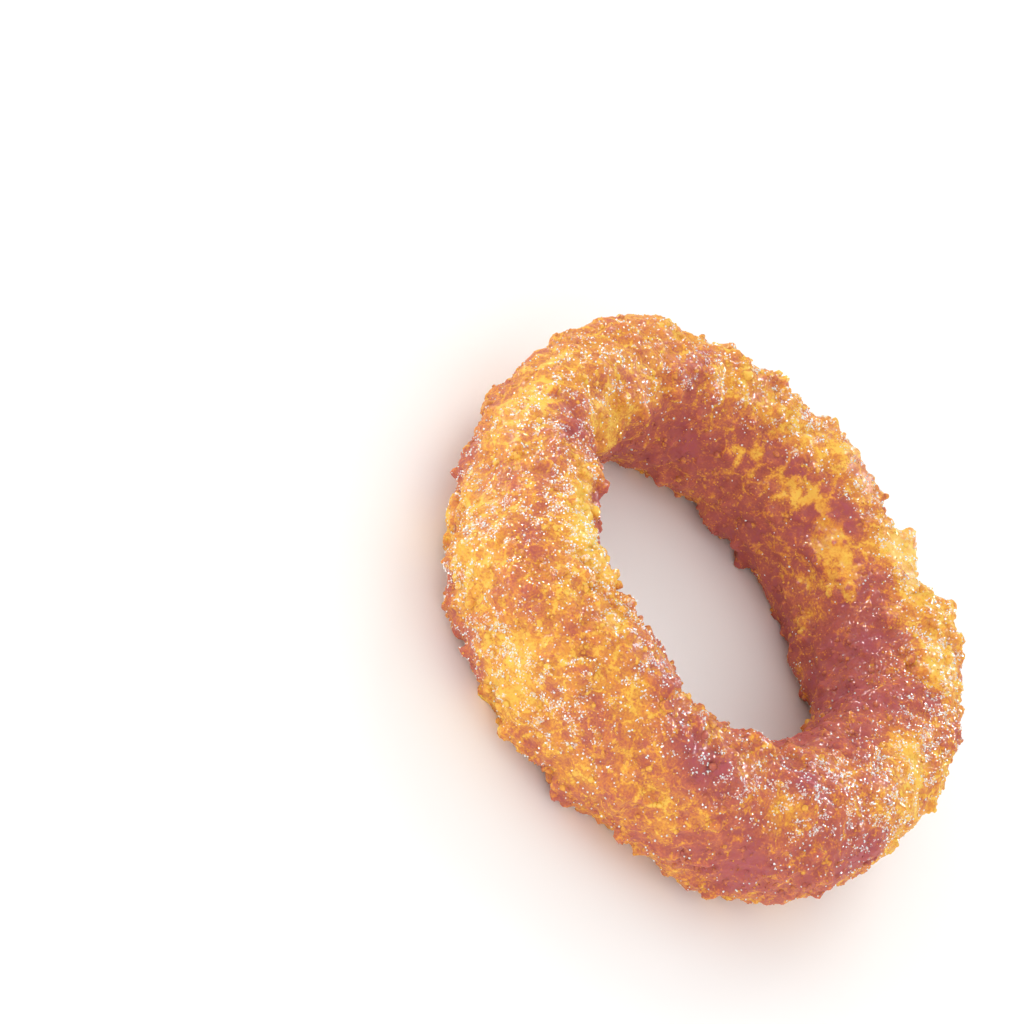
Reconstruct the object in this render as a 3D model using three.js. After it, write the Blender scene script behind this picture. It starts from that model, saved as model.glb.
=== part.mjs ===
// One breaded and deep-fried onion ring, lying flat on the table. Millimetres, +Z up.
// The origin is at the centre of the ring's footprint, on the surface that it rests on.
//
// The ring is one solid: a thick ring whose centre line isn't quite round and whose section is a little
// taller than it is wide, as a slice of onion is under its crumb. Over that runs the relief of the crust:
// slow swells where the breading is thick or thin, rounded crags between creases, and clumps of crumb.
// Angles "around" run from +X towards +Y; angles "over" run round the section from the outer side (0)
// over the top (90) to the side of the hole (180) and under the ring (270).

import * as THREE from "three";
import { ImprovedNoise } from "three/addons/math/ImprovedNoise.js";
import { mergeVertices } from "three/addons/utils/BufferGeometryUtils.js";

const { degToRad, seededRandom } = THREE.MathUtils;

// Driving sizes
const centreLineRadius = 29.35; // from the middle of the hole to the middle of the section
const sectionHalfWidth = 7.7; // towards the hole and away from it
const sectionHalfHeight = 9.3; // up and down
const restCut = 1.5; // how far up from the lowest crumb the underside is pressed flat
const stepsAround = 134;
const stepsOver = 42; // even, because each row of the surface starts half a step before the last one

// How the centre line leaves a true circle: waves in a turn, their height, and where one of them peaks.
const centreLineWaves = [
  { count: 2, height: 0.9, peak: 149 },
  { count: 3, height: 0.55, peak: 24 },
  { count: 4, height: 0.3, peak: 57 },
  { count: 5, height: 0.3, peak: 38 },
];
// How the thickness of the section comes and goes round the ring.
const thicknessWaves = [
  { count: 1, height: 0.45, peak: 30 },
  { count: 2, height: 0.25, peak: 115 },
  { count: 3, height: 0.45, peak: 4 },
  { count: 4, height: 0.3, peak: 55 },
];
// How the middle of the section rises and falls: the slice has curled a little in the hot oil.
const liftWaves = [
  { count: 2, height: 0.45, peak: 56 },
  { count: 3, height: 0.3, peak: 8 },
];

// Relief of the crust: the size of a feature, how much it rises and falls, and which part of the noise it is.
const swell = { size: 13, height: 1.5, shift: 7.3 };
const crag = { size: 6, height: 1.3, shift: 2.6 };
const dimple = { size: 3.4, height: 0.6, shift: 11.9 };

// Clumps of crumb and thick places in the batter, each at its place on the ring.
// around and over say where, width is across the clump, and height is how far it stands out.
const largeClumps = [
  { around: 25, over: 52, width: 4.2, height: 2.8 }, // a small finger of batter on the outer side
  { around: 72, over: 72, width: 4.4, height: 1.4 },
  { around: 97, over: 74, width: 3.6, height: 1.1 },
  { around: 103, over: 74, width: 3.4, height: 1.2 },
  { around: 121, over: 72, width: 4.2, height: 1.5 },
  { around: 163, over: 49, width: 5.0, height: 1.3 },
  { around: 171, over: 37, width: 5.2, height: 1.2 },
  { around: 215, over: 126, width: 4.2, height: 1.7 },
  { around: 244, over: 114, width: 3.8, height: 1.2 },
  { around: 251, over: 112, width: 4.0, height: 1.5 },
  { around: 257, over: 112, width: 4.8, height: 1.7 },
  { around: 272, over: 110, width: 14, height: 1.6 }, // a thick place in the batter, as the next two are
  { around: 50, over: 66, width: 15, height: 1.4 },
  { around: 14, over: 32, width: 14, height: 1.2 },
  { around: 290, over: 103, width: 5.6, height: 0.9 },
  { around: 306, over: 114, width: 7.2, height: 1.4 },
  { around: 345, over: 136, width: 3.4, height: 1.6 },
  { around: 53, over: 222, width: 3.8, height: 1.2 },
  { around: 134, over: 218, width: 3.2, height: 0.8 },
  { around: 252, over: 322, width: 5.6, height: 1.4 },
  { around: 268, over: 320, width: 4.2, height: 1.1 },
  { around: 284, over: 319, width: 4.0, height: 1.4 },
];
// The rest are scattered evenly by a seeded draw.
const scatteredClumps = {
  count: 380, seed: 41,
  width: { from: 2.8, to: 5.2 },
  height: { from: 0.2, to: 1.1 },
};

// The foot of a clump runs out this far past its stated width, and falls away this steeply.
const clumpFoot = { spread: 1.35, steepness: 1.5 };

const goldenCrust = new THREE.MeshStandardMaterial({ color: 0xd98a4b, roughness: 0.55, metalness: 0 });

function waveSum(waves, angle) {
  return waves.reduce((sum, w) => sum + w.height * Math.cos(w.count * (angle - degToRad(w.peak))), 0);
}

// A point of the smooth ring under the crumb, and the way its surface faces there.
function underCrumb(around, over) {
  const thicker = waveSum(thicknessWaves, around);
  const halfWidth = sectionHalfWidth + thicker;
  const halfHeight = sectionHalfHeight + thicker;
  const middle = centreLineRadius + waveSum(centreLineWaves, around);
  const fromAxis = middle + halfWidth * Math.cos(over);
  const outward = new THREE.Vector3(Math.cos(around), Math.sin(around), 0);
  const point = outward.clone().multiplyScalar(fromAxis);
  point.z = waveSum(liftWaves, around) + halfHeight * Math.sin(over);
  const facing = outward.multiplyScalar(Math.cos(over) / halfWidth);
  facing.z = Math.sin(over) / halfHeight;
  return { point, facing: facing.normalize() };
}

const perlin = new ImprovedNoise();
const perlinPeak = 0.75; // about the largest value that the noise takes

// Smooth relief that rises and falls by up to half its height; shift picks another pattern.
function softRelief(point, { size, height, shift }) {
  const noise = perlin.noise(point.x / size + shift, point.y / size + shift, point.z / size + shift);
  return (0.5 * height * noise) / perlinPeak;
}

// Rounded bumps with sharp creases between them. Most of the crust is bump, so the creases cut in deeper
// than the bumps stand out.
function craggyRelief(point, { size, height, shift }) {
  const bump = Math.min(Math.abs(softRelief(point, { size, height: 3.2, shift })), 1);
  return height * (bump - 0.4);
}

function placeClump({ around, over, width, height }) {
  const reach = (width / 2) * clumpFoot.spread;
  return { centre: underCrumb(degToRad(around), degToRad(over)).point, reach, height };
}

function scatterClumps({ count, seed, width, height }) {
  seededRandom(seed);
  const drawn = ({ from, to }) => from + (to - from) * seededRandom();
  const perTurn = (Math.sqrt(5) - 1) / 2; // golden ratio: spreads the clumps evenly over both angles
  return Array.from({ length: count }, (_, i) =>
    placeClump({
      around: (360 * (i + seededRandom())) / count,
      over: 360 * ((i * perTurn + 0.15 * seededRandom()) % 1),
      width: drawn(width),
      height: drawn(height),
    }),
  );
}

const clumps = [...largeClumps.map(placeClump), ...scatterClumps(scatteredClumps)];

// How far the highest clump near a point lifts the crust there: a dome that ends in a soft foot.
function clumpLift(point) {
  let lift = 0;
  for (const clump of clumps) {
    const away = point.distanceTo(clump.centre) / clump.reach;
    if (away < 1) lift = Math.max(lift, clump.height * (1 - away * away) ** clumpFoot.steepness);
  }
  return lift;
}

function crustPoint(around, over) {
  const { point, facing } = underCrumb(around, over);
  const relief = softRelief(point, swell) + craggyRelief(point, crag) + softRelief(point, dimple);
  return point.addScaledVector(facing, relief + clumpLift(point));
}

// A torus gives the rows and columns of the surface, and its uv says how far round each point is.
// Rows are staggered by half a step, so that the triangles come out nearly equal-sided.
function onionRing() {
  const grid = new THREE.TorusGeometry(1, 0.5, stepsOver, stepsAround);
  const place = grid.getAttribute("position");
  const uv = grid.getAttribute("uv");
  for (let i = 0; i < place.count; i++) {
    const row = uv.getY(i) * stepsOver;
    const column = uv.getX(i) * stepsAround - row / 2;
    place.setXYZ(i, ...crustPoint((2 * Math.PI * column) / stepsAround, 2 * Math.PI * uv.getY(i)));
  }
  grid.deleteAttribute("uv");
  grid.deleteAttribute("normal");
  const geometry = mergeVertices(grid, 1e-3);
  pressUndersideFlat(geometry);
  geometry.computeVertexNormals();
  const mesh = new THREE.Mesh(geometry, goldenCrust);
  mesh.name = "onion_ring";
  return mesh;
}

// Lowers the ring onto the table: the lowest crumbs are pressed flat, and the footprint is centred.
function pressUndersideFlat(geometry) {
  geometry.computeBoundingBox();
  const table = geometry.boundingBox.min.z + restCut;
  const place = geometry.getAttribute("position");
  for (let i = 0; i < place.count; i++) place.setZ(i, Math.max(place.getZ(i), table));
  geometry.computeBoundingBox();
  const { min, max } = geometry.boundingBox;
  geometry.translate(-(min.x + max.x) / 2, -(min.y + max.y) / 2, -table);
}

const part = new THREE.Group();
part.add(onionRing());

export default part;
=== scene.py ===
# A breaded and deep-fried onion ring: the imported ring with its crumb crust, on a pale studio floor.
# Everything is in metres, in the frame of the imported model: the ring lies flat, +Z up, around the Z axis.

import math

import bmesh
import bpy
from mathutils import Matrix, Vector, noise
from mathutils.bvhtree import BVHTree


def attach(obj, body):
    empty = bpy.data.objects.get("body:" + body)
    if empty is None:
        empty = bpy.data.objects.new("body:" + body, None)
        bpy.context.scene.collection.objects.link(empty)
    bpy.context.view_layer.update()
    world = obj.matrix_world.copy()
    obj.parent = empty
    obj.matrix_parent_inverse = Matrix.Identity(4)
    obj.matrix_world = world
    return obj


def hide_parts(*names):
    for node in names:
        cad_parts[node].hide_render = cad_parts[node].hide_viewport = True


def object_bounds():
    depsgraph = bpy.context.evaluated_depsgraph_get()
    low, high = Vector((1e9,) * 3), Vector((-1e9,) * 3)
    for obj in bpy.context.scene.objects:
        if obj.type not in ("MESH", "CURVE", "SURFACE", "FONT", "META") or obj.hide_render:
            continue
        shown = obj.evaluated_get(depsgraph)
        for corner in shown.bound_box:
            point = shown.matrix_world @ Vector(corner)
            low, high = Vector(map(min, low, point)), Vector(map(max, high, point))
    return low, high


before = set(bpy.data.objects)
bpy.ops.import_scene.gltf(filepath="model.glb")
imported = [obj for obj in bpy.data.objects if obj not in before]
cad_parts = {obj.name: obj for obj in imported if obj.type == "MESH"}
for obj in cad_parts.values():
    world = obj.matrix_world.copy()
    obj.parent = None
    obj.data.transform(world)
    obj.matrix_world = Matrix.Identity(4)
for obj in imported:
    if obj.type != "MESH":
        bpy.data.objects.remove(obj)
cadBox = [list(corner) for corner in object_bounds()]
mm = 0.001
noise.seed_set(7)  # unless it is set, noise_vector takes its seed from the clock

# The smooth ring under the crust: the middle of its section from the Z axis, and the section's half sizes.
ring = {
    "middleRadius": 29.4 * mm,
    "halfWidth": 8.2 * mm,
    "halfHeight": 10.3 * mm,
}


def ringPoint(around, over):  # degrees: round the hole from +X, and over the section from its outer side
    turn, climb = math.radians(around), math.radians(over)
    reach = ring["middleRadius"] + ring["halfWidth"] * math.cos(climb)
    height = ring["halfHeight"] * (1 + math.sin(climb))
    return Vector((reach * math.cos(turn), reach * math.sin(turn), height))


def hexColour(text, alpha=1.0):  # sRGB hex to the linear values that the shaders take
    def linear(c):
        return c / 12.92 if c <= 0.04045 else ((c + 0.055) / 1.055) ** 2.4
    return tuple(linear(int(text[i:i + 2], 16) / 255) for i in (1, 3, 5)) + (alpha,)


def addNode(tree, kind, links=None, **settings):  # settings by property name, links by input name or number
    node = tree.nodes.new(kind)
    for name, value in settings.items():
        setattr(node, name, value)
    for socket, value in (links or {}).items():
        if isinstance(value, bpy.types.NodeSocket):
            tree.links.new(value, node.inputs[socket])
        else:
            node.inputs[socket].default_value = value
    return node


def linked(data, name):  # a new object in the scene
    piece = bpy.data.objects.new(name, data)
    bpy.context.scene.collection.objects.link(piece)
    return piece


def settled(piece, name):  # the piece with its modifiers applied, as a new plain mesh object
    bpy.context.view_layer.update()
    graph = bpy.context.evaluated_depsgraph_get()
    mesh = bpy.data.meshes.new_from_object(piece.evaluated_get(graph))
    mesh.name = name
    bpy.data.objects.remove(piece)
    return linked(mesh, name)


# The camera looks down on the lying ring, and is rolled so that the ring seems to lean.
camera = {
    "elevation": 37,  # degrees above the plane of the ring
    "roll": 53,  # degrees that the ring seems turned clockwise
    "distance": 400 * mm,
    "scale": 8.1 / mm,  # pixels for a metre, at the ring's middle
    "imageSize": 1024,
    "ringPixel": (708, 604),  # where the middle of the ring is seen
    "sensor": 36.0,  # mm
    "clip": (50 * mm, 10),  # the nearest and the farthest that it sees
}


def makeCamera():
    middle = Vector((0, 0, ring["halfHeight"]))
    climb, roll = math.radians(camera["elevation"]), math.radians(camera["roll"])
    back = Vector((0, -math.cos(climb), math.sin(climb)))
    level, upright = Vector((1, 0, 0)), Vector((0, math.sin(climb), math.cos(climb)))
    rightwards = level * math.cos(roll) + upright * math.sin(roll)
    upwards = upright * math.cos(roll) - level * math.sin(roll)
    half = camera["imageSize"] / 2
    across, down = [(pixel - half) / camera["scale"] for pixel in camera["ringPixel"]]
    place = middle + back * camera["distance"]
    aim = middle - rightwards * across + upwards * down
    look = (place - aim).normalized()
    side = upwards.cross(look).normalized()
    data = bpy.data.cameras.new("camera")
    data.sensor_width = camera["sensor"]
    data.lens = camera["distance"] * camera["scale"] / camera["imageSize"] * camera["sensor"]
    data.clip_start, data.clip_end = camera["clip"]
    piece = linked(data, "camera")
    turn = Matrix((side, look.cross(side), look)).transposed().to_4x4()
    piece.matrix_world = Matrix.Translation(place) @ turn
    bpy.context.scene.camera = piece
    print("camera", round(data.lens, 1), "mm lens")
    return {"right": rightwards, "up": upwards, "back": back}


view = makeCamera()  # which way is right, up and back for the camera

# Where the crust differs from its average. Each patch has its place on the ring in degrees, its width in mm
# and its amount.
bareBatter = [  # smooth yellow batter with little or no crumb on it
    {"around": 193, "over": 48, "width": 8, "amount": 0.7},
    {"around": 201, "over": 48, "width": 7, "amount": 0.7},
    {"around": 209, "over": 48, "width": 6, "amount": 0.6},
    {"around": 230, "over": 80, "width": 7, "amount": 0.2},
    {"around": 106, "over": 140, "width": 6, "amount": 0.55},  # a streak along the side of the hole
    {"around": 98, "over": 143, "width": 6, "amount": 0.6},
    {"around": 90, "over": 143, "width": 6, "amount": 0.7},
    {"around": 83, "over": 146, "width": 6, "amount": 0.8},
    {"around": 75, "over": 150, "width": 6, "amount": 0.8},
    {"around": 68, "over": 153, "width": 6, "amount": 0.8},
    {"around": 62, "over": 156, "width": 5, "amount": 0.5},
    {"around": 122, "over": 146, "width": 14, "amount": 0.4},  # and thin crumb round it
    {"around": 92, "over": 166, "width": 12, "amount": 0.15},
    {"around": 76, "over": 166, "width": 10, "amount": 0.4},
    {"around": 97, "over": 124, "width": 9, "amount": 0.1},
    {"around": 70, "over": 118, "width": 7, "amount": 0.4},
    {"around": 55, "over": 162, "width": 9, "amount": 0.3},
    {"around": 292, "over": 17, "width": 9, "amount": 0.3},
    {"around": 253, "over": 1, "width": 8, "amount": 0.25},
]
toastedAndHighlit = [  # fried darker, and where the amount is negative, lighter; some lighter ones on the crest by the hole paint in a highlight
    {"around": 195, "over": 76, "width": 8, "amount": 0.45},
    {"around": 201, "over": 98, "width": 9, "amount": 0.55},
    {"around": 159, "over": 148, "width": 9, "amount": 0.25},
    {"around": 141, "over": 165, "width": 12, "amount": 0.2},
    {"around": 103, "over": 185, "width": 14, "amount": 0.2},
    {"around": 70, "over": 195, "width": 16, "amount": 0.15},
    {"around": 43, "over": 183, "width": 14, "amount": 0.15},
    {"around": 17, "over": 159, "width": 12, "amount": 0.22},
    {"around": 88, "over": 132, "width": 5, "amount": 0.6},
    {"around": 107, "over": 134, "width": 4, "amount": 0.6},
    {"around": 61, "over": 165, "width": 5, "amount": 0.2},
    {"around": 70, "over": 130, "width": 4, "amount": 0.2},
    {"around": 56, "over": 142, "width": 7, "amount": 0.35},
    {"around": 43, "over": 147, "width": 7, "amount": 0.3},
    {"around": 117, "over": 128, "width": 6, "amount": 0.3},
    {"around": 147, "over": 88, "width": 8, "amount": 0.2},
    {"around": 296, "over": 62, "width": 9, "amount": 0.5},
    {"around": 323, "over": 93, "width": 7, "amount": 0.5},
    {"around": 306, "over": 80, "width": 4, "amount": 0.4},
    {"around": 349, "over": 120, "width": 10, "amount": 0.25},
    {"around": 343, "over": 95, "width": 8, "amount": 0.25},
    {"around": 318, "over": 5, "width": 24, "amount": 0.28},
    {"around": 341, "over": 18, "width": 14, "amount": 0.3},
    {"around": 285, "over": -36, "width": 16, "amount": 0.2},
    {"around": 274, "over": 26, "width": 9, "amount": 0.25},
    {"around": 251, "over": -38, "width": 12, "amount": 0.3},
    {"around": 238, "over": -33, "width": 9, "amount": 0.2},
    {"around": 208, "over": -16, "width": 14, "amount": 0.35},
    {"around": 234, "over": 41, "width": 7, "amount": 0.12},
    {"around": 205, "over": 66, "width": 12, "amount": 0.15},
    {"around": 221, "over": 60, "width": 12, "amount": 0.1},
    {"around": 225, "over": 10, "width": 10, "amount": -0.25},
    {"around": 253, "over": 2, "width": 12, "amount": -0.4},
    {"around": 262, "over": 20, "width": 10, "amount": -0.08},
    {"around": 268, "over": 42, "width": 10, "amount": -0.2},
    {"around": 209, "over": 45, "width": 16, "amount": -0.25},
    {"around": 176, "over": 29, "width": 14, "amount": -0.1},
    # the next two lighter patches, on the crest by the hole, paint in its highlight
    {"around": 221, "over": 100, "width": 10, "amount": -0.15},
    {"around": 237, "over": 93, "width": 10, "amount": -0.25},
    {"around": 174, "over": 120, "width": 12, "amount": -0.15},
    {"around": 261, "over": 90, "width": 9, "amount": -0.25},
    {"around": 137, "over": 95, "width": 7, "amount": -0.4},
    {"around": 100, "over": 85, "width": 16, "amount": -0.15},
    {"around": 68, "over": 95, "width": 14, "amount": -0.2},
    {"around": 39, "over": 106, "width": 12, "amount": -0.3},
    {"around": 50, "over": 218, "width": 5, "amount": -0.6},
    {"around": 3, "over": 66, "width": 14, "amount": -0.3},
    {"around": 320, "over": 65, "width": 8, "amount": -0.35},
    {"around": 292, "over": 40, "width": 8, "amount": -0.1},
    {"around": 191, "over": 70, "width": 12, "amount": 0.15},
    {"around": 231, "over": 69, "width": 9, "amount": 0.25},
    {"around": 255, "over": 28, "width": 10, "amount": 0.15},
    {"around": 87, "over": 158, "width": 10, "amount": 0.12},
    {"around": 64, "over": 135, "width": 8, "amount": 0.35},
    {"around": 5, "over": 125, "width": 10, "amount": 0.1},
    {"around": 317, "over": 79, "width": 10, "amount": 0.2},
    {"around": 329, "over": 44, "width": 12, "amount": 0.28},
    {"around": 291, "over": 81, "width": 8, "amount": 0.25},
    {"around": 191, "over": 0, "width": 14, "amount": 0.2},
    {"around": 176, "over": 153, "width": 14, "amount": -0.55},
    {"around": 113, "over": 129, "width": 10, "amount": -0.3},
    {"around": 102, "over": 170, "width": 12, "amount": -0.15},
    {"around": 53, "over": 145, "width": 8, "amount": -0.15},
    {"around": 241, "over": 2, "width": 14, "amount": -0.3},
    {"around": 283, "over": -19, "width": 14, "amount": -0.2},
    {"around": 280, "over": 50, "width": 12, "amount": -0.2},
    {"around": 341, "over": 82, "width": 10, "amount": -0.2},
    {"around": 296, "over": 11, "width": 14, "amount": -0.15},
    {"around": 319, "over": 57, "width": 10, "amount": -0.35},
    {"around": 55, "over": 90, "width": 10, "amount": -0.15},
    {"around": 67, "over": 190, "width": 10, "amount": -0.15},
    {"around": 250, "over": 12, "width": 10, "amount": 0.2},
    {"around": 241, "over": -25, "width": 10, "amount": 0.1},
    {"around": 92, "over": 165, "width": 7, "amount": 0.28},
    {"around": 221, "over": 75, "width": 8, "amount": 0.2},
    {"around": 292, "over": 36, "width": 10, "amount": 0.2},
    {"around": 282, "over": -38, "width": 10, "amount": 0.15},
    {"around": 274, "over": 106, "width": 8, "amount": 0.15},
    {"around": 262, "over": -5, "width": 10, "amount": -0.18},
    {"around": 1, "over": 103, "width": 10, "amount": -0.2},
    {"around": 113, "over": 178, "width": 14, "amount": -0.15},
    {"around": 222, "over": 59, "width": 10, "amount": -0.15},
    {"around": 253, "over": 35, "width": 10, "amount": -0.12},
    {"around": 215, "over": 124, "width": 7, "amount": -0.2},
    # the next three lighter patches, by the crest at the hole, paint in its highlight
    {"around": 227, "over": 113, "width": 8, "amount": -0.5},
    {"around": 236, "over": 111, "width": 8, "amount": -0.45},
    {"around": 244, "over": 102, "width": 8, "amount": -0.3},
    {"around": 279, "over": 93, "width": 8, "amount": 0.2},
    {"around": 302, "over": 44, "width": 12, "amount": 0.27},
    {"around": 339, "over": 25, "width": 14, "amount": 0.25},
    {"around": 318, "over": -15, "width": 16, "amount": 0.18},
    {"around": 59, "over": 125, "width": 9, "amount": -0.2},
    {"around": 73, "over": 123, "width": 9, "amount": -0.35},
    {"around": 247, "over": 24, "width": 10, "amount": 0.12},
    {"around": 268, "over": 42, "width": 7, "amount": 0.2},
    {"around": 292, "over": -15, "width": 12, "amount": 0.15},
    {"around": 303, "over": -15, "width": 14, "amount": 0.15},
    {"around": 320, "over": 80, "width": 7, "amount": 0.3},
    {"around": 353, "over": 119, "width": 9, "amount": 0.25},
    {"around": 23, "over": 109, "width": 9, "amount": 0.15},
    {"around": 40, "over": 108, "width": 7, "amount": 0.12},
    {"around": 292, "over": 73, "width": 8, "amount": 0.12},
    {"around": 213, "over": 42, "width": 8, "amount": 0.15},
    {"around": 227, "over": 44, "width": 8, "amount": 0.12},
    {"around": 171, "over": 59, "width": 10, "amount": -0.15},
    {"around": 188, "over": 39, "width": 10, "amount": -0.12},
    {"around": 199, "over": 10, "width": 10, "amount": -0.35},
    {"around": 137, "over": 89, "width": 9, "amount": -0.12},
    {"around": 122, "over": 101, "width": 8, "amount": -0.1},
    {"around": 98, "over": 152, "width": 9, "amount": -0.2},
    {"around": 70, "over": 189, "width": 12, "amount": -0.3},
    {"around": 289, "over": 36, "width": 8, "amount": -0.12},
    {"around": 66, "over": 118, "width": 7, "amount": 0.12},
    {"around": 25, "over": 92, "width": 8, "amount": 0.15},
    {"around": 330, "over": -5, "width": 14, "amount": 0.08},
    {"around": 245, "over": 88, "width": 7, "amount": 0.15},
    {"around": 169, "over": 110, "width": 8, "amount": 0.25},
]
lumpy = [  # more lumps of crumb than elsewhere
    {"around": 40, "over": 74, "width": 12, "amount": 0.7},
    {"around": 60, "over": 74, "width": 12, "amount": 0.7},
    {"around": 80, "over": 74, "width": 12, "amount": 0.7},
    {"around": 100, "over": 74, "width": 12, "amount": 0.7},
    {"around": 120, "over": 72, "width": 12, "amount": 0.7},
    {"around": 248, "over": 112, "width": 14, "amount": 0.7},
    {"around": 215, "over": 124, "width": 10, "amount": 0.6},
    {"around": 318, "over": 127, "width": 16, "amount": 0.5},
    {"around": 345, "over": 135, "width": 8, "amount": 0.5},
    {"around": 25, "over": 57, "width": 8, "amount": 0.5},
    {"around": 228, "over": 112, "width": 10, "amount": 0.5},
    {"around": 262, "over": 108, "width": 12, "amount": 0.5},
    {"around": 280, "over": 104, "width": 14, "amount": 0.5},
    {"around": 298, "over": 110, "width": 14, "amount": 0.5},
    {"around": 240, "over": -25, "width": 16, "amount": 0.4},
    {"around": 262, "over": -32, "width": 16, "amount": 0.4},
    {"around": 284, "over": -32, "width": 16, "amount": 0.4},
]
frostedAndGlinting = [  # more salt than elsewhere, which also paints in glints where the highlights cluster
    {"around": 232, "over": 15, "width": 20, "amount": 0.6},
    {"around": 237, "over": -5, "width": 16, "amount": 0.5},
    {"around": 205, "over": 20, "width": 16, "amount": 0.25},
    {"around": 214, "over": -16, "width": 16, "amount": 0.4},
    {"around": 230, "over": -18, "width": 14, "amount": 0.5},
    {"around": 200, "over": 84, "width": 18, "amount": 0.4},
    {"around": 176, "over": 90, "width": 16, "amount": 0.4},
    # these thick patches along the crest by the hole paint in its white highlight
    {"around": 220, "over": 100, "width": 7, "amount": 1.0},
    {"around": 230, "over": 103, "width": 9, "amount": 1.6},
    {"around": 238, "over": 96, "width": 8, "amount": 1.6},
    {"around": 246, "over": 96, "width": 7, "amount": 0.8},
    {"around": 257, "over": 97, "width": 9, "amount": 0.6},
    {"around": 275, "over": 100, "width": 12, "amount": 0.4},
    {"around": 320, "over": 78, "width": 18, "amount": 0.3},
    {"around": 350, "over": 66, "width": 20, "amount": 0.6},
    {"around": 15, "over": 80, "width": 16, "amount": 0.5},
    {"around": 37, "over": 88, "width": 14, "amount": 0.5},
    {"around": 60, "over": 66, "width": 18, "amount": 0.5},
    {"around": 85, "over": 68, "width": 16, "amount": 0.4},
    {"around": 107, "over": 76, "width": 16, "amount": 0.4},
    {"around": 132, "over": 82, "width": 14, "amount": 0.4},
    {"around": 113, "over": 112, "width": 4, "amount": 0.8},
    {"around": 52, "over": 222, "width": 5, "amount": 1.0},
    {"around": 253, "over": -5, "width": 12, "amount": 0.9},
    {"around": 258, "over": 3, "width": 14, "amount": 0.5},
    {"around": 264, "over": 5, "width": 14, "amount": 0.5},
    {"around": 271, "over": 5, "width": 14, "amount": 0.45},
    {"around": 279, "over": 7, "width": 12, "amount": 0.3},
    {"around": 267, "over": 22, "width": 14, "amount": 0.15},
    {"around": 222, "over": 48, "width": 14, "amount": -0.22},
    {"around": 240, "over": 45, "width": 14, "amount": -0.22},
    {"around": 258, "over": 45, "width": 16, "amount": -0.2},
    {"around": 278, "over": 40, "width": 16, "amount": -0.2},
]
wrinkled = [  # creased across the ring
    {"around": 300, "over": 78, "width": 18, "amount": 1.0},
    {"around": 325, "over": 70, "width": 18, "amount": 0.8},
    {"around": 278, "over": 84, "width": 14, "amount": 0.6},
]


patchFade = {"steepness": 2, "end": 1.6}  # how a patch fades outwards; it ends at so many half widths


def patchSum(patches):  # gives a function of the point
    spots = [(ringPoint(p["around"], p["over"]), p["width"] / 2 * mm, p["amount"]) for p in patches]

    def total(point):
        value = 0.0
        for place, reach, amount in spots:
            away = (point - place).length / reach
            if away < patchFade["end"]:
                value += amount * math.exp(-patchFade["steepness"] * away * away)
        return value
    return total


noiseReach = 1.4  # stretches the noise to about -1 to 1


# Smooth noise. A pattern has the size of its largest features, its layers, each half as large and half as
# strong as the one before, and the part of the endless noise that it shows.
def fractal(point, pattern):
    place = point / pattern["size"] + Vector((pattern["part"],) * 3)
    return noise.fractal(place, 1.0, 2.0, pattern["layers"], noise_basis="PERLIN_ORIGINAL") * noiseReach


def smoothStep(value, low, high):
    share = min(max((value - low) / (high - low), 0.0), 1.0)
    return share * share * (3 - 2 * share)


def inwards(point):  # how far towards the hole, in half widths of the section
    return (ring["middleRadius"] - math.hypot(point.x, point.y)) / ring["halfWidth"]


bareAt = patchSum(bareBatter)
toastedAndHighlitAt = patchSum(toastedAndHighlit)
lumpyAt = patchSum(lumpy)
wrinkledAt = patchSum(wrinkled)
frostedAndGlintingAt = patchSum(frostedAndGlinting)

covering = {
    "noise": {"size": 3.6 * mm, "layers": 3, "part": 31.7},
    "noiseAmount": 0.2,
    "thinning": (0.05, 0.9),  # how bare a place is where the crumb begins to thin out, and where it ends
}


def crumbCover(point):  # 0 where the batter shows, 1 where crumb covers it
    bareness = covering["noiseAmount"] * fractal(point, covering["noise"]) + bareAt(point)
    return 1 - smoothStep(bareness, *covering["thinning"])


lumps = {
    "everywhere": 0.3,
    "noise": {"size": 7 * mm, "layers": 2, "part": 53.3},
    "noiseAmount": 0.3,
    "beads": 1.3,  # how fast round beads set in where it grows lumpy
}


def lumpiness(point):  # how thick the lumps of crumb stand
    uneven = lumps["noiseAmount"] * fractal(point, lumps["noise"])
    return min(lumps["everywhere"] + uneven + lumpyAt(point), 1.0)


def beading(point):  # where round beads of crumb stand out: only in the lumpy places
    return min(lumps["beads"] * lumpyAt(point), 1.0)


frying = {
    "everywhere": 0.43,
    "inHolePaintedShade": 0.28,  # painted shade: browner on the side of the hole
    "holeSide": (0.1, 0.9),  # where that begins and where it is full, in half widths of the section
    "noise": {"size": 9 * mm, "layers": 2, "part": 7.1},
    "noiseAmount": 0.14,
}


def toastAndPaintedLight(point):  # how far the crust is fried: 0 yellow, 1 dark; it also holds painted shade on the side of the hole and painted highlights on the crest by the hole
    inHolePaintedShade = frying["inHolePaintedShade"] * smoothStep(inwards(point), *frying["holeSide"])
    uneven = frying["noiseAmount"] * fractal(point, frying["noise"])
    return frying["everywhere"] + inHolePaintedShade + uneven + toastedAndHighlitAt(point)


wrinkles = {
    "noise": {"size": 2.4 * mm, "layers": 2, "part": 23.1},
    "stretch": 0.2,  # how fast they change along a crease, as a share of how fast they do across it
    "depth": 0.25,  # the share of their height that cuts in
    "height": 0.7 * mm,
}


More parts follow.
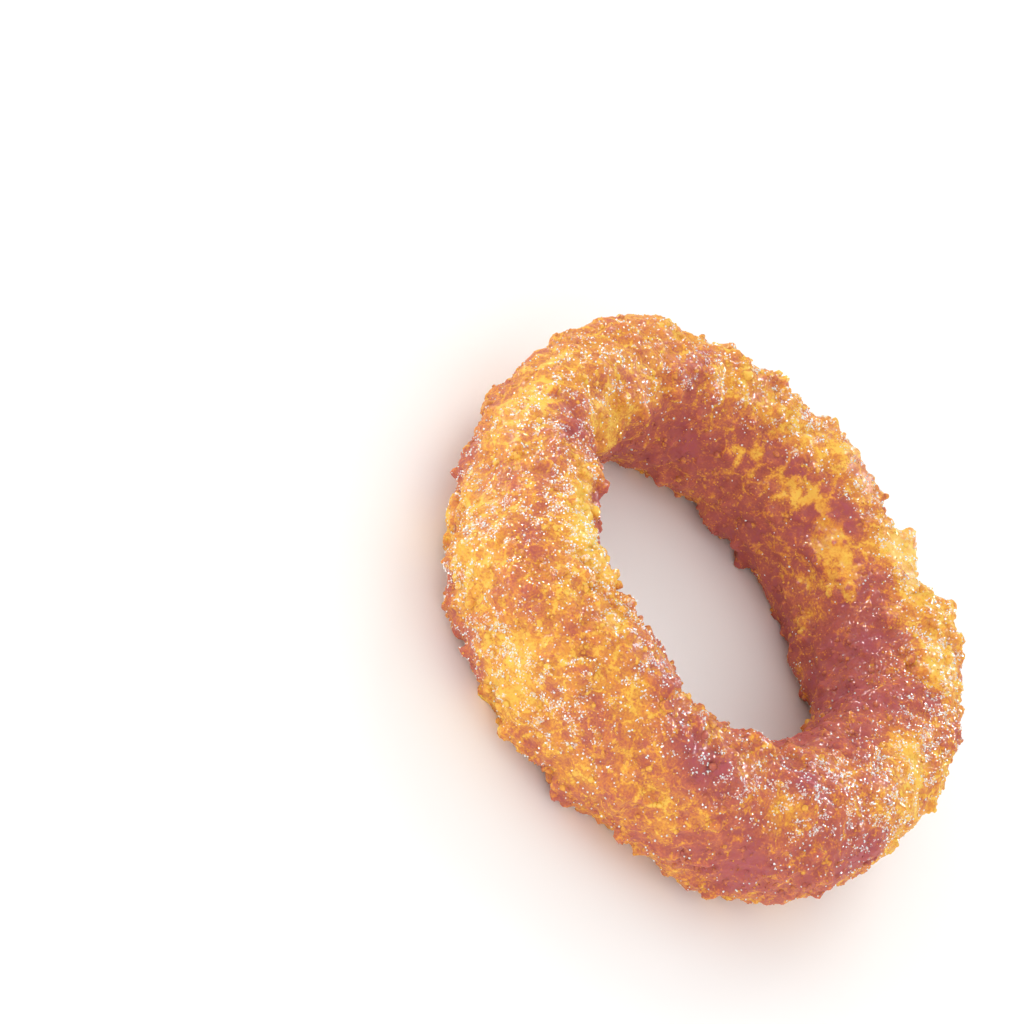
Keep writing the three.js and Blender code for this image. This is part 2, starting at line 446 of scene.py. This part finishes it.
def wrinkle(point):  # creases that run over the ring, from the outer side to the hole
    around = math.atan2(point.y, point.x)
    over = math.atan2(point.z - ring["halfHeight"], math.hypot(point.x, point.y) - ring["middleRadius"])
    unrolled = Vector((ring["middleRadius"] * around, wrinkles["stretch"] * ring["halfWidth"] * over, 0))
    return (abs(fractal(unrolled, wrinkles["noise"])) - wrinkles["depth"]) * min(wrinkledAt(point), 1.0)


# Salt, strewn thickest where the highlights fall, so that its white grains and dust also paint in glints.
saltingAndGlints = {
    "everywhere": 0.1,
    "onTop": 0.32,  # more on the top, where the highlights fall
    "top": (0.65, 0.95),  # where that begins and where it is full, as shares of the ring's height
    "onWrinkles": 1.5,
    "lostInHole": 0.8,  # the share that the side of the hole, which lies in shade, goes without
    "holeSide": (0.3, 0.8),  # in half widths of the section
    "noise": {"size": 1.2 * mm, "layers": 2, "part": 12.4},
    "noiseAmount": 3.4,
    "noiseMiddle": 0.75,
    "limits": (0.02, 1.8),
}


def sparkle(point):  # how thick the salt and the painted glints lie: most on the top and on the ridges of the creases, where the highlights fall, and hardly any on the shaded side of the hole
    onTop = saltingAndGlints["onTop"] * smoothStep(point.z / (2 * ring["halfHeight"]), *saltingAndGlints["top"])
    thick = saltingAndGlints["everywhere"] + onTop + saltingAndGlints["onWrinkles"] * max(wrinkle(point), 0)
    kept = 1 - saltingAndGlints["lostInHole"] * smoothStep(inwards(point), *saltingAndGlints["holeSide"])
    strewn = saltingAndGlints["noiseMiddle"] + saltingAndGlints["noiseAmount"] * fractal(point, saltingAndGlints["noise"])
    least, most = saltingAndGlints["limits"]
    return min(max((thick * kept + frostedAndGlintingAt(point)) * strewn, least), most)


surfaceFields = {"crumbCover": crumbCover, "toastAndPaintedLight": toastAndPaintedLight, "sparkle": sparkle, "lumpiness": lumpiness,
                 "beading": beading}


def storeField(mesh, name):
    values = [surfaceFields[name](v.co) for v in mesh.vertices]
    mesh.attributes.new(name, "FLOAT", "POINT").data.foreach_set("value", values)


# The crust: the ring's own form, swollen with crumb, as one closed skin.
crust = {
    "mergeDistance": 0.01 * mm,
    "rounding": 0.25,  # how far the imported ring's corners are smoothed
    "voxel": 0.455 * mm,
    "crags": {"size": 3.0 * mm, "layers": 2, "part": 4.4},
    "cragHeight": 0.75 * mm,
    "cragDepth": 0.25,  # the share of a crag's height that cuts in
    "coverHeight": 0.35 * mm,  # how far the crumb stands over the bare batter
    "coverLevel": 0.8,  # the cover that leaves the surface where it is
    "pebbles": {"size": 1.0 * mm, "layers": 2, "part": 17.0},
    "pebbleHeight": 0.12 * mm,
    "nodules": [  # crumbs that are baked into the crust: how many for each square millimetre, and how wide
        {"density": 0.17, "width": (1.2 * mm, 2.6 * mm), "sink": 0.38, "seed": 3},
        {"density": 0.45, "width": (0.8 * mm, 1.4 * mm), "sink": 0.42, "seed": 4},
    ],
    "noduleForm": {"faces": 80, "roughness": 0.22, "shift": (0.0, 0.0)},
    "blending": 0.5,  # how far each round of smoothing goes
    "smoothing": 1,
    "topMargin": 0.45 * mm,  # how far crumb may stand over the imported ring's top
}


def pushOut(mesh, rise):  # moves each point along its normal; the normals are read before any point moves
    steps = [v.normal * rise(v.co) for v in mesh.vertices]
    for v, step in zip(mesh.vertices, steps):
        v.co += step


def keepInside(mesh):  # nothing reaches under the table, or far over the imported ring
    top = cadBox[1][2] + crust["topMargin"]
    for v in mesh.vertices:
        v.co.z = min(max(v.co.z, 0.0), top)


def ringBase():
    mesh = bpy.data.meshes.new("ringBase")
    bm = bmesh.new()
    bm.from_mesh(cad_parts["onion_ring"].data)
    bmesh.ops.remove_doubles(bm, verts=bm.verts, dist=crust["mergeDistance"])
    bmesh.ops.smooth_vert(bm, verts=bm.verts, factor=crust["rounding"], use_axis_x=True, use_axis_y=True,
                          use_axis_z=True)
    bm.to_mesh(mesh)
    bm.free()
    piece = linked(mesh, "ringBase")
    rounded = piece.modifiers.new("rounded", "SUBSURF")
    rounded.levels = rounded.render_levels = 1
    piece = settled(piece, "ringBase")
    storeField(piece.data, "lumpiness")
    return piece


# A few crumb shapes, each about one unit wide, that the scattering picks from.
crumbForm = {
    "variants": 8,
    "cubeSide": 0.62,  # of a salt grain
    "ballRadius": 0.5,
    "dents": 1.7,  # how fast the dents follow each other across a crumb
    "apart": 9.1,  # how far apart in the noise two variants are
    "flatness": 0.82,
    "skew": 2.0,  # more than 1 makes many small crumbs and few large ones
}


def crumbShapes(name, faces, roughness, seed):
    group = bpy.data.collections.new(name)
    for i in range(crumbForm["variants"]):
        bm = bmesh.new()
        if faces == 12:
            bmesh.ops.create_cube(bm, size=crumbForm["cubeSide"])
        else:
            subdivisions = 1 if faces == 20 else 2
            bmesh.ops.create_icosphere(bm, subdivisions=subdivisions, radius=crumbForm["ballRadius"])
        variant = Vector((seed + crumbForm["apart"] * i, 0, 0))
        for v in bm.verts:
            v.co += roughness * noise.noise_vector(v.co * crumbForm["dents"] + variant)
            v.co.z *= crumbForm["flatness"]
        mesh = bpy.data.meshes.new(f"{name}{i}")
        bm.to_mesh(mesh)
        bm.free()
        if faces > 20:
            mesh.shade_smooth()
        group.objects.link(bpy.data.objects.new(f"{name}{i}", mesh))
    return group


def scatter(target, name, kind, mask):  # crumbs on the target, made real
    shapes = crumbShapes(name + "Shape", kind["faces"], kind["roughness"], kind["seed"])
    seed = kind["seed"]
    tree = bpy.data.node_groups.new(name, "GeometryNodeTree")
    tree.interface.new_socket("Geometry", in_out="INPUT", socket_type="NodeSocketGeometry")
    tree.interface.new_socket("Geometry", in_out="OUTPUT", socket_type="NodeSocketGeometry")
    ground = addNode(tree, "NodeGroupInput")
    thick = addNode(tree, "GeometryNodeInputNamedAttribute", {"Name": mask}, data_type="FLOAT")
    dense = addNode(tree, "ShaderNodeMath", {0: thick.outputs["Attribute"], 1: kind["density"] / mm ** 2},
                    operation="MULTIPLY")
    points = addNode(tree, "GeometryNodeDistributePointsOnFaces",
                     {"Mesh": ground.outputs[0], "Density": dense.outputs[0], "Seed": seed})
    draw = addNode(tree, "FunctionNodeRandomValue", {"Seed": seed + 1}, data_type="FLOAT")
    skewed = addNode(tree, "ShaderNodeMath", {0: draw.outputs[1], 1: crumbForm["skew"]}, operation="POWER")
    least, most = kind["width"]
    size = addNode(tree, "ShaderNodeMapRange", {0: skewed.outputs[0], 3: least, 4: most})
    turn = addNode(tree, "FunctionNodeRandomValue", {1: (math.tau,) * 3, "Seed": seed + 2},
                   data_type="FLOAT_VECTOR")
    rise = crumbForm["ballRadius"] - kind["sink"]
    lower = addNode(tree, "ShaderNodeMath", {0: size.outputs[0], 1: rise}, operation="MULTIPLY")
    offset = addNode(tree, "ShaderNodeVectorMath", {0: points.outputs["Normal"], "Scale": lower.outputs[0]},
                     operation="SCALE")
    raised = addNode(tree, "GeometryNodeSetPosition",
                     {"Geometry": points.outputs["Points"], "Offset": offset.outputs[0]})
    kinds = addNode(tree, "GeometryNodeCollectionInfo",
                    {"Collection": shapes, "Separate Children": True, "Reset Children": True})
    placed = addNode(tree, "GeometryNodeInstanceOnPoints",
                     {"Points": raised.outputs[0], "Instance": kinds.outputs[0], "Pick Instance": True,
                      "Rotation": turn.outputs[0], "Scale": size.outputs[0]})
    lightest, darkest = kind["shift"]
    shift = addNode(tree, "FunctionNodeRandomValue", {2: lightest, 3: darkest, "Seed": seed + 3},
                    data_type="FLOAT")
    shifted = addNode(tree, "GeometryNodeStoreNamedAttribute",
                      {"Geometry": placed.outputs[0], "Name": "shift", "Value": shift.outputs[1]},
                      data_type="FLOAT", domain="INSTANCE")
    real = addNode(tree, "GeometryNodeRealizeInstances", {0: shifted.outputs[0]})
    addNode(tree, "NodeGroupOutput", {0: real.outputs[0]})
    piece = linked(target.data.copy(), name)
    piece.modifiers.new("scatter", "NODES").node_group = tree
    return settled(piece, name)


def joined(pieces, name):
    bm = bmesh.new()
    for piece in pieces:
        bm.from_mesh(piece.data)
        bpy.data.objects.remove(piece)
    mesh = bpy.data.meshes.new(name)
    bm.to_mesh(mesh)
    bm.free()
    return linked(mesh, name)


nubs = [  # single lumps of crumb that stand out: the place and the width in mm
    {"around": 74, "over": 75, "width": 2.2}, {"around": 71, "over": 71, "width": 1.6},
    {"around": 54, "over": 73, "width": 2.0}, {"around": 51, "over": 77, "width": 1.5},
    {"around": 103, "over": 80, "width": 1.7}, {"around": 98, "over": 85, "width": 1.6},
    {"around": 110, "over": 82, "width": 1.5}, {"around": 121, "over": 73, "width": 1.9},
    {"around": 35, "over": 65, "width": 1.5}, {"around": 163, "over": 47, "width": 1.6},
    {"around": 215, "over": 120, "width": 2.4}, {"around": 218, "over": 116, "width": 1.9},
    {"around": 228, "over": 114, "width": 1.4}, {"around": 244, "over": 104, "width": 1.7},
    {"around": 250, "over": 106, "width": 1.7}, {"around": 257, "over": 111, "width": 1.9},
    {"around": 263, "over": 110, "width": 1.5}, {"around": 293, "over": 111, "width": 1.7},
    {"around": 307, "over": 117, "width": 1.9}, {"around": 323, "over": 131, "width": 1.7},
    {"around": 346, "over": 148, "width": 1.4}, {"around": 232, "over": -29, "width": 1.4},
    {"around": 240, "over": -33, "width": 1.5}, {"around": 250, "over": -37, "width": 1.7},
    {"around": 280, "over": -40, "width": 1.7}, {"around": 295, "over": -34, "width": 1.5},
]
nubForm = {
    "roughness": 0.3,
    "dents": 1.7,
    "apart": 3.1,  # how far apart in the noise two lumps are
    "rise": 0.35,  # how much of its width the middle of a lump is lifted
}


def makeNubs(nearBase):
    bm = bmesh.new()
    for i, nub in enumerate(nubs):
        foot, normal = nearBase.find_nearest(ringPoint(nub["around"], nub["over"]))[:2]
        size = nub["width"] * mm
        for v in bmesh.ops.create_icosphere(bm, subdivisions=2, radius=size / 2)["verts"]:
            place = nubForm["dents"] * v.co / size + Vector((nubForm["apart"] * i, 0, 0))
            v.co += nubForm["roughness"] * size * noise.noise_vector(place)
            v.co += foot + nubForm["rise"] * size * normal
    mesh = bpy.data.meshes.new("nubs")
    bm.to_mesh(mesh)
    bm.free()
    return linked(mesh, "nubs")


def makeCrust():
    base = ringBase()
    points = [v.co for v in base.data.vertices]
    nearBase = BVHTree.FromPolygons(points, [p.vertices for p in base.data.polygons])
    parts = [scatter(base, f"nodules{i}", {**kind, **crust["noduleForm"]}, "lumpiness")
             for i, kind in enumerate(crust["nodules"])]

    def rise(point):
        crag = crust["cragHeight"] * (abs(fractal(point, crust["crags"])) - crust["cragDepth"])
        cover = crust["coverHeight"] * (crumbCover(point) - crust["coverLevel"])
        return crag + cover + wrinkles["height"] * wrinkle(point)

    pushOut(base.data, rise)
    piece = joined([base, *parts, makeNubs(nearBase)], "crumb_crust")
    skin = piece.modifiers.new("skin", "REMESH")
    skin.mode, skin.voxel_size, skin.use_smooth_shade = "VOXEL", crust["voxel"], True
    blended = piece.modifiers.new("blended", "SMOOTH")
    blended.factor, blended.iterations = crust["blending"], crust["smoothing"]
    piece = settled(piece, "crumb_crust")
    mesh = piece.data
    storeField(mesh, "crumbCover")
    covers = [stored.value for stored in mesh.attributes["crumbCover"].data]
    steps = [v.normal * crust["pebbleHeight"] * cover * fractal(v.co, crust["pebbles"])
             for v, cover in zip(mesh.vertices, covers)]
    for v, step in zip(mesh.vertices, steps):
        v.co += step
    keepInside(mesh)
    feet = [nearBase.find_nearest(v.co)[:2] for v in mesh.vertices]
    heights = [(v.co - foot).dot(normal) / mm for v, (foot, normal) in zip(mesh.vertices, feet)]
    mesh.attributes.new("relief", "FLOAT", "POINT").data.foreach_set("value", heights)
    # the way the ring faces under its crumb, which the loose crumbs take over from here
    facing = mesh.attributes.new("facing", "FLOAT_VECTOR", "POINT")
    facing.data.foreach_set("vector", [c for _, normal in feet for c in normal])
    storeField(mesh, "toastAndPaintedLight")
    storeField(mesh, "sparkle")
    storeField(mesh, "beading")
    mesh.shade_smooth()
    print("crust", len(mesh.vertices), "points", len(mesh.polygons), "faces")
    return piece


crustPiece = makeCrust()

# Loose crumbs on the crust, each kind as one piece: where they lie, how many for each square millimetre, how
# wide they are, how deep they sit as a share of that, how many faces one has, how rugged it is, and how much
# lighter or darker it is than the crust there.
crumbs = [
    {"name": "coarse_crumbs", "mask": "beading", "density": 0.1, "width": (1.0 * mm, 1.8 * mm),
     "sink": 0.5, "faces": 80, "roughness": 0.25, "shift": (-0.25, 0.1), "seed": 21},
    {"name": "medium_crumbs", "mask": "crumbCover", "density": 0.12, "width": (0.5 * mm, 1.0 * mm),
     "sink": 0.55, "faces": 80, "roughness": 0.22, "shift": (-0.3, 0.05), "seed": 27},
    {"name": "fine_crumbs", "mask": "crumbCover", "density": 0.4, "width": (0.28 * mm, 0.5 * mm),
     "sink": 0.6, "faces": 20, "roughness": 0.3, "shift": (-0.35, 0.1), "seed": 35},
    {"name": "finest_crumbs", "mask": "crumbCover", "density": 0.7, "width": (0.16 * mm, 0.3 * mm),
     "sink": 0.5, "faces": 20, "roughness": 0.3, "shift": (-0.55, 0.0), "seed": 43},
]
# white salt grains: partly real salt, partly painted glints
salt = {"name": "salt_grains", "mask": "sparkle", "density": 2.0, "width": (0.17 * mm, 0.32 * mm),
        "sink": 0.2, "faces": 12, "roughness": 0.2, "shift": (0.0, 0.0), "seed": 59}


def strew(kind):
    piece = scatter(crustPiece, kind["name"], kind, kind["mask"])
    keepInside(piece.data)
    print(kind["name"], sum(len(p.vertices) - 2 for p in piece.data.polygons), "triangles")
    return piece


crumbPieces = [strew(kind) for kind in crumbs]
saltAndGlintPiece = strew(salt)

# the white of the salt, and of the glints painted into the crust
saltAndGlintColour = "#F4FAF8"

# How the fried crust looks. A scale is one over the real width of what the pattern draws.
crustLook = {
    "ramp": [  # how far it is fried, and its colour there, from the bare batter to the darkest crumb; the last, more mauve stop is mostly reached on the side of the hole, as painted shade
        (0.0, "#F0C25A"), (0.12, "#EDB452"), (0.26, "#E19C4A"), (0.42, "#D2844E"), (0.58, "#C06C56"),
        (0.76, "#B05F56"), (1.0, "#AE5C60"),
    ],
    "noises": {
        "island": {"Scale": 1 / (3.6 * mm), "Detail": 3, "Roughness": 0.55, "Distortion": 0.3},
        "speckle": {"Scale": 1 / (1.2 * mm), "Detail": 3, "Roughness": 0.6},
        "grain": {"Scale": 1 / (0.3 * mm), "Detail": 2, "Roughness": 0.6},
    },
    # how much each of them moves the edge of the crumb, and how much it browns
    "edgeSpeckle": 0.9, "edgeGrain": 0.3,
    "brownIsland": 0.7, "brownSpeckle": 0.55, "brownGrain": 0.55,
    # the web of batter between islands of thin crumb
    "webScale": 1 / (2.6 * mm), "webHalfWidth": 0.14, "webAmount": 2.6,
    "swirlScale": 1 / (1.8 * mm), "swirl": 1.6 * mm,
    "coveredFrom": 0.1, "coveredTo": 0.85,
    "brownCovered": 0.6,  # how much darker the crumb is than the batter
    "reliefPaintedLight": 0.04,  # painted light and shade: lighter for each mm that the crust stands out, so its hollows look shaded
    "proudFrom": 1.4, "proudPaintedLight": 0.11,  # and more painted light for each mm past this one
    "cellScale": 1 / (0.5 * mm), "batterBump": 0.15, "bumpStrength": 0.35, "bumpDistance": 0.12 * mm,
    "facetScale": 1 / (0.18 * mm), "facetTilt": 1.4,
    "dustAndGlintShare": 0.22, "dustAndGlintWhite": 0.42,  # how many facets hold salt dust and painted glints, and how white they are
}


# Deep-fried breadcrumb crust: rough toasted crumb on smooth batter, with a thin film of oil that glints. Its
# colour also holds painted glints, painted shade on the side of the hole and painted light on raised crumb.
def friedCrustMaterial(name, softness):  # softness: how much of the light spreads inside it
    look = crustLook
    material = bpy.data.materials.new(name)
    material.use_nodes = True
    tree = material.node_tree
    tree.nodes.clear()
    place = addNode(tree, "ShaderNodeTexCoord").outputs["Object"]
    stored = {field: addNode(tree, "ShaderNodeAttribute", attribute_name=field)
              for field in ("crumbCover", "toastAndPaintedLight", "shift", "relief", "sparkle", "facing")}
    noises = {pattern: addNode(tree, "ShaderNodeTexNoise", {"Vector": place, **settings}).outputs["Fac"]
              for pattern, settings in look["noises"].items()}

    def added(total, parts):  # each part's difference from its middle, times its amount
        for part, middle, amount in parts:
            swing = addNode(tree, "ShaderNodeMath", {0: part, 1: middle}, operation="SUBTRACT")
            total = addNode(tree, "ShaderNodeMath", {0: swing.outputs[0], 1: amount, 2: total},
                            operation="MULTIPLY_ADD").outputs[0]
        return total

    # where the crumb lies thin, it is in islands with the batter showing in a web between them
    swirl = addNode(tree, "ShaderNodeTexNoise", {"Vector": place, "Scale": look["swirlScale"], "Detail": 2})
    warp = addNode(tree, "ShaderNodeVectorMath",
                   {0: swirl.outputs["Color"], 1: (look["swirl"],) * 3, 2: place}, operation="MULTIPLY_ADD")
    web = addNode(tree, "ShaderNodeTexVoronoi", {"Vector": warp.outputs[0], "Scale": look["webScale"]},
                  feature="DISTANCE_TO_EDGE")
    edge = added(stored["crumbCover"].outputs["Fac"], [
        (noises["speckle"], 0.5, look["edgeSpeckle"]),
        (noises["grain"], 0.5, look["edgeGrain"]),
        (web.outputs["Distance"], look["webHalfWidth"], look["webAmount"]),
    ])
    covered = addNode(tree, "ShaderNodeMapRange",
                      {0: edge, 1: look["coveredFrom"], 2: look["coveredTo"]}).outputs[0]
    # painted light and shade: crust that stands out is coloured lighter, its hollows darker
    relief = stored["relief"].outputs["Fac"]
    past = addNode(tree, "ShaderNodeMath", {0: relief, 1: look["proudFrom"]}, operation="SUBTRACT")
    proud = addNode(tree, "ShaderNodeMath", {0: past.outputs[0], 1: 0.0}, operation="MAXIMUM")
    browning = added(stored["toastAndPaintedLight"].outputs["Fac"], [
        (stored["shift"].outputs["Fac"], 0.0, 1.0),
        (noises["island"], 0.5, look["brownIsland"]),
        (noises["speckle"], 0.5, look["brownSpeckle"]),
        (noises["grain"], 0.5, look["brownGrain"]),
        (covered, 1.0, look["brownCovered"]),
        (relief, 0.0, -look["reliefPaintedLight"]),
        (proud.outputs[0], 0.0, -look["proudPaintedLight"]),
    ])
    ramp = addNode(tree, "ShaderNodeValToRGB", {0: browning})
    while len(ramp.color_ramp.elements) < len(look["ramp"]):
        ramp.color_ramp.elements.new(0.5)
    for element, (position, colour) in zip(ramp.color_ramp.elements, look["ramp"]):
        element.position = position
        element.color = hexColour(colour)

    # the fine grain of the crumb, as little domes that are faint on the batter
    cells = addNode(tree, "ShaderNodeTexVoronoi", {"Vector": place, "Scale": look["cellScale"]})
    domes = addNode(tree, "ShaderNodeMath", {0: 1.0, 1: cells.outputs["Distance"]}, operation="SUBTRACT")
    rough = addNode(tree, "ShaderNodeMath", {0: domes.outputs[0], 1: noises["grain"]}, operation="ADD")
    depth = addNode(tree, "ShaderNodeMath", {0: covered, 1: look["batterBump"]}, operation="ADD")
    height = addNode(tree, "ShaderNodeMath", {0: rough.outputs[0], 1: depth.outputs[0]},
                     operation="MULTIPLY")
    bump = addNode(tree, "ShaderNodeBump", {"Height": height.outputs[0], "Strength": look["bumpStrength"],
                                            "Distance": look["bumpDistance"]})

    # salt dust and painted glints, too fine to be grains: some of the facets are white, and more of them
    # where salt and glints lie thick
    facets = addNode(tree, "ShaderNodeTexVoronoi", {"Vector": place, "Scale": look["facetScale"]})
    clean = addNode(tree, "ShaderNodeMath",
                    {0: stored["sparkle"].outputs["Fac"], 1: -look["dustAndGlintShare"], 2: 1.0},
                    operation="MULTIPLY_ADD")
    dustAndGlint = addNode(tree, "ShaderNodeMath", {0: facets.outputs["Color"], 1: clean.outputs[0]},
                    operation="GREATER_THAN")
    whitened = addNode(tree, "ShaderNodeMath", {0: dustAndGlint.outputs[0], 1: look["dustAndGlintWhite"]},
                       operation="MULTIPLY")
    colour = addNode(tree, "ShaderNodeMix",
                     {0: whitened.outputs[0], 6: ramp.outputs[0], 7: hexColour(saltAndGlintColour)},
                     data_type="RGBA")
    # each tiny facet of the oily crumb tilts its own way, so that a few of them catch a lamp
    skin = addNode(tree, "ShaderNodeNewGeometry")
    level = addNode(tree, "ShaderNodeVectorMath",
                    {0: skin.outputs["Normal"], 1: stored["facing"].outputs["Vector"]}, operation="ADD")
    tilt = addNode(tree, "ShaderNodeVectorMath", {0: facets.outputs["Color"], 1: (0.5, 0.5, 0.5)},
                   operation="SUBTRACT")
    tilted = addNode(tree, "ShaderNodeVectorMath",
                     {0: tilt.outputs[0], 1: (look["facetTilt"],) * 3, 2: level.outputs[0]},
                     operation="MULTIPLY_ADD")
    facetNormal = addNode(tree, "ShaderNodeVectorMath", {0: tilted.outputs[0]}, operation="NORMALIZE")
    surface = addNode(tree, "ShaderNodeBsdfPrincipled",
                      {"Base Color": colour.outputs[2], "Roughness": 0.6, "Normal": bump.outputs[0],
                       "IOR": 1.45, "Specular IOR Level": 0.0,  # only the oil on it shines
                       "Subsurface Weight": softness, "Subsurface Scale": 1 * mm,
                       "Subsurface Radius": (1.0, 0.45, 0.25),  # red light spreads the furthest
                       "Coat Weight": 0.25, "Coat Roughness": 0.08, "Coat IOR": 1.5,
                       "Coat Normal": facetNormal.outputs[0]})
    addNode(tree, "ShaderNodeOutputMaterial", {"Surface": surface.outputs[0]})
    return material


# Fine table salt: clear little crystals that look white. Strewn where the highlights fall, they also stand
# in for glints as painted highlights.
def saltAndGlintMaterial():
    material = bpy.data.materials.new("fine table salt with painted glints")
    material.use_nodes = True
    surface = material.node_tree.nodes["Principled BSDF"]
    surface.inputs["Base Color"].default_value = hexColour(saltAndGlintColour)
    surface.inputs["Roughness"].default_value = 0.25
    surface.inputs["IOR"].default_value = 1.54
    return material


def dress(piece, material):
    piece.data.materials.clear()
    piece.data.materials.append(material)
    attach(piece, "root")


dress(crustPiece, friedCrustMaterial("fried breadcrumb crust", 0.6))
crumbMaterial = friedCrustMaterial("fried breadcrumbs", 0.0)
for piece in crumbPieces:
    dress(piece, crumbMaterial)
dress(saltAndGlintPiece, saltAndGlintMaterial())
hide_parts("onion_ring")

# A white sheet for a floor, an even white surround, round lamps, and small ones that only make glints.
studio = {
    "floorColour": "#F7F6F4",
    "floorSize": 2.0,
    "ambient": 0.97,
    "lampDistance": 600 * mm,
    # where each lamp stands, as the camera sees it: to the right, up, and back towards the camera
    "lamps": [
        {"name": "key", "right": -0.5, "up": 0.7, "back": 0.45, "width": 300 * mm, "power": 0.42},
        {"name": "rim", "right": 0.55, "up": 0.75, "back": -0.25, "width": 300 * mm, "power": 0.65},
        {"name": "side", "right": -0.7, "up": 0.5, "back": 0.6, "width": 240 * mm, "power": 0.32},
        {"name": "hole", "right": 0.2, "up": -0.35, "back": 0.9, "width": 300 * mm, "power": 0.7},
    ],
    "glossLamps": [  # these only make glints on the oily crumb
        {"name": "crestGloss", "right": 0.77, "up": 0.58, "back": -0.28, "width": 130 * mm, "power": 4.5},
        {"name": "ridgeGloss", "right": -0.14, "up": 0.99, "back": 0.0, "width": 130 * mm, "power": 4.5},
        {"name": "leftGloss", "right": -0.61, "up": 0.77, "back": 0.18, "width": 130 * mm, "power": 4.5},
        {"name": "rightGloss", "right": 0.94, "up": 0.21, "back": -0.27, "width": 130 * mm, "power": 4.5},
        {"name": "frontGloss", "right": -0.45, "up": 0.55, "back": 0.7, "width": 110 * mm, "power": 3.0},
    ],
}


def addLamp(lamp):
    towards = view["right"] * lamp["right"] + view["up"] * lamp["up"] + view["back"] * lamp["back"]
    data = bpy.data.lights.new(lamp["name"], "AREA")
    data.shape, data.size, data.energy = "DISK", lamp["width"], lamp["power"]
    piece = linked(data, lamp["name"])
    piece.location = towards.normalized() * studio["lampDistance"]
    piece.rotation_euler = towards.to_track_quat("Z", "Y").to_euler()
    return piece


def makeStudio():
    bm = bmesh.new()
    bmesh.ops.create_grid(bm, x_segments=1, y_segments=1, size=studio["floorSize"])
    mesh = bpy.data.meshes.new("floor")
    bm.to_mesh(mesh)
    bm.free()
    floor = linked(mesh, "floor")
    material = bpy.data.materials.new("matte white paper")
    material.use_nodes = True
    surface = material.node_tree.nodes["Principled BSDF"]
    surface.inputs["Base Color"].default_value = hexColour(studio["floorColour"])
    surface.inputs["Roughness"].default_value = 0.9
    surface.inputs["Specular IOR Level"].default_value = 0.2
    mesh.materials.append(material)
    world = bpy.data.worlds.new("studio")
    world.use_nodes = True
    world.node_tree.nodes["Background"].inputs["Color"].default_value = (1, 1, 1, 1)
    world.node_tree.nodes["Background"].inputs["Strength"].default_value = studio["ambient"]
    bpy.context.scene.world = world
    world.cycles_visibility.glossy = False  # the surround lights the ring, but lays no haze on its oil
    bpy.context.scene.view_settings.view_transform = "Standard"
    for lamp in studio["lamps"]:
        addLamp(lamp)
    for lamp in studio["glossLamps"]:
        addLamp(lamp).visible_diffuse = False
    print("studio ready")


makeStudio()
